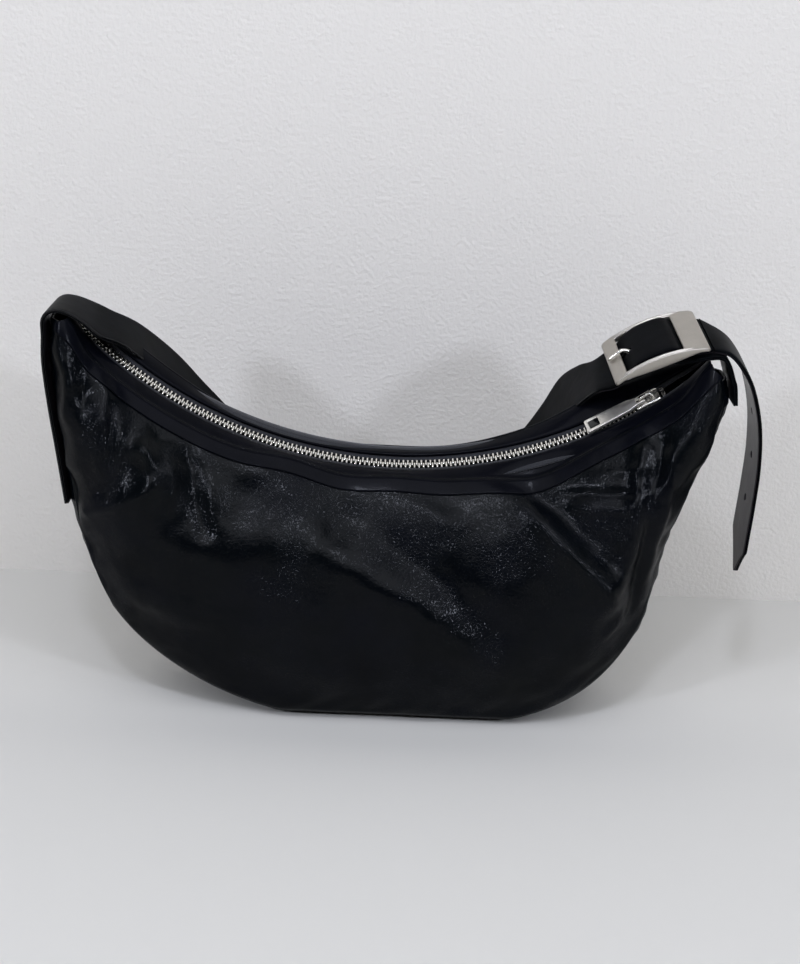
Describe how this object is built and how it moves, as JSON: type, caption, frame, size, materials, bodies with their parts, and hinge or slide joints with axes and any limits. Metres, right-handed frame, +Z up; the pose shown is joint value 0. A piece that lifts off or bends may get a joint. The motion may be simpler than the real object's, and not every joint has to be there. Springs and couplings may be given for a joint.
{
  "type": "shoulder bag",
  "caption": "Crescent shoulder bag in black patent leather with a curved metal zip, a strap that hangs behind, and an arched metal buckle with a hanging strap tail.",
  "frame": {"origin": "centre of the base's resting face, below the middle of the bag's width and depth", "axes": "+X to the right along the bag's length as the buckle side is seen from the front, +Y away from the viewer towards the strap, +Z up"},
  "size_m": [0.3908, 0.1343, 0.2289],
  "materials": {
    "patent_leather": "black patent leather with a fine crackle and a wet gloss",
    "smooth_leather": "smooth black leather, glossy, edges painted black",
    "strap_backing": "plain black backing leather, half matt",
    "lining_cloth": "plain woven black lining cloth",
    "zip_tape": "black woven zip tape",
    "zip_metal": "polished nickel zip teeth",
    "slider_metal": "polished nickel",
    "buckle_metal": "satin nickel",
    "black_inlay": "plain glossy black enamel inlay"
  },
  "bodies": {
    "bag": {"front_panel": "patent_leather", "back_panel": "patent_leather", "gusset": "patent_leather", "front_lining": "lining_cloth", "back_lining": "lining_cloth", "gusset_lining": "lining_cloth", "front_facing": "smooth_leather", "back_facing": "smooth_leather", "front_zip_tape": "zip_tape", "back_zip_tape": "zip_tape", "front_zip_teeth": "zip_metal", "back_zip_teeth": "zip_metal", "zip_bottom_stop": "zip_metal", "zip_top_stops": "zip_metal", "strap_left_end": "smooth_leather", "strap_left_backing": "strap_backing", "strap_buckle_run": "smooth_leather", "strap_buckle_backing": "strap_backing", "chape": "smooth_leather"},
    "slider": {"slider_top_plate": "slider_metal", "slider_bottom_plate": "slider_metal", "slider_bridge": "slider_metal"},
    "pull": {"pull_tab": "slider_metal", "pull_inlay": "black_inlay"},
    "strap": {"strap_main": "smooth_leather", "strap_main_backing": "strap_backing"},
    "tail": {"strap_tail": "smooth_leather", "strap_tail_backing": "strap_backing"},
    "buckle": {"buckle_frame": "buckle_metal", "buckle_centre_bar": "buckle_metal"},
    "prong": {"buckle_prong": "buckle_metal"}
  },
  "joints": [
    {"name": "slider_travel", "type": "hinge", "parent": "bag", "child": "slider", "pos_m": [0.00512, 0, 0.38123], "axis": [0, 1, 0], "range_deg": [0, 64]},
    {"name": "pull_flip", "type": "hinge", "parent": "slider", "child": "pull", "pos_m": [0.13798, -0.00156, 0.18492], "axis": [-0.2483, 0.8988, 0.3613], "range_deg": [0, 30]},
    {"name": "strap_swing", "type": "hinge", "parent": "bag", "child": "strap", "pos_m": [-0.15401, -0.01353, 0.21565], "axis": [0.9959, 0.0283, -0.0857], "range_deg": [0, 150]},
    {"name": "tail_lift", "type": "hinge", "parent": "bag", "child": "tail", "pos_m": [0.16926, 0.00562, 0.22077], "axis": [-0.1053, 0.9659, 0.2364], "range_deg": [-80, 0]},
    {"name": "buckle_rock", "type": "hinge", "parent": "bag", "child": "buckle", "pos_m": [0.14221, 0.00447, 0.21343], "axis": [-0.1053, 0.9659, 0.2364], "range_deg": [-1.5, 1.5]},
    {"name": "prong_pivot", "type": "hinge", "parent": "buckle", "child": "prong", "pos_m": [0.14221, 0.00447, 0.21343], "axis": [-0.1053, 0.9659, 0.2364], "range_deg": [0, 95]}
  ]
}
